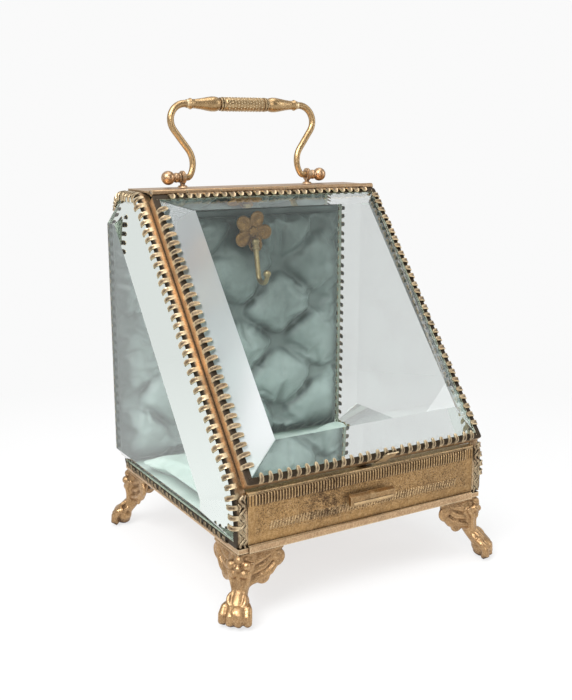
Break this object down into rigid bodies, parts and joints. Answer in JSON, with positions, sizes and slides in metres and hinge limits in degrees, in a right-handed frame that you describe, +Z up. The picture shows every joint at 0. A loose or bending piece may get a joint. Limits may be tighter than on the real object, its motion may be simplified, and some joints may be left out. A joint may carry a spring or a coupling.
{
  "type": "glass casket box",
  "caption": "Small slant-front display box of bevelled glass in gilt metal claw strip, with a lift-up glass door, padded lining, watch hook, paw feet and a swinging handle.",
  "frame": {"origin": "on the floor under the middle of the box, between the four feet", "axes": "+Z up, +Y from the front towards the back, +X to the right seen from the front"},
  "size_m": [0.108, 0.103, 0.156],
  "materials": {
    "gilt_sheet": "worn gilt brass sheet with brown patina",
    "gilt_stamped": "stamped gilt brass, brown in the recesses",
    "gilt_claw": "worn gilt brass strip with dark patina between the claws",
    "gilt_cast": "cast and gilt brass, rubbed bright on the high spots",
    "plain_brass": "plain brass inside the case",
    "steel": "plain steel wire and screws",
    "bevelled_glass": "thick clear glass with wide ground and polished bevels",
    "satin": "grey-green satin",
    "pale_silk": "pale mint silk"
  },
  "bodies": {
    "case": {"base_plate": "gilt_sheet", "front_panel": "gilt_stamped", "left_side_frame": "gilt_claw", "right_side_frame": "gilt_claw", "left_side_glass": "bevelled_glass", "right_side_glass": "bevelled_glass", "back_panel": "gilt_sheet", "top_plate": "gilt_sheet", "top_lining": "satin", "back_board": "satin", "back_pad": "satin", "rosette": "gilt_cast", "watch_hook": "gilt_cast", "floor_board": "pale_silk", "floor_cushion": "pale_silk", "front_lining": "satin", "latch_bracket": "plain_brass", "latch_spring": "steel", "left_handle_post": "gilt_cast", "right_handle_post": "gilt_cast", "handle_post_nuts": "plain_brass", "case_hinge_leaf": "gilt_sheet", "hinge_pin": "steel", "front_left_foot": "gilt_cast", "front_right_foot": "gilt_cast", "rear_left_foot": "gilt_cast", "rear_right_foot": "gilt_cast", "foot_screws": "steel"},
    "door": {"door_frame": "gilt_claw", "door_glass": "bevelled_glass", "door_hinge_leaf": "gilt_sheet", "door_lug": "plain_brass"},
    "bail": {"bail_handle": "gilt_cast", "left_finial": "gilt_cast", "right_finial": "gilt_cast"},
    "button": {"latch_button": "gilt_cast", "catch_arm": "plain_brass", "button_clip": "steel"}
  },
  "joints": [
    {"name": "door_hinge", "type": "hinge", "parent": "case", "child": "door", "pos_m": [0, 0.01844, 0.12416], "axis": [-1, 0, 0], "range_deg": [0, 105]},
    {"name": "bail_swing", "type": "hinge", "parent": "case", "child": "bail", "pos_m": [0, 0.034, 0.1282], "axis": [-1, 0, 0], "range_deg": [-45, 85]},
    {"name": "latch_push", "type": "slide", "parent": "case", "child": "button", "axis": [0, 1, 0], "range_m": [0, 0.0012], "stiffness_N_per_m": 300, "springref_m": -0.002, "deforming": ["latch_spring"]}
  ]
}
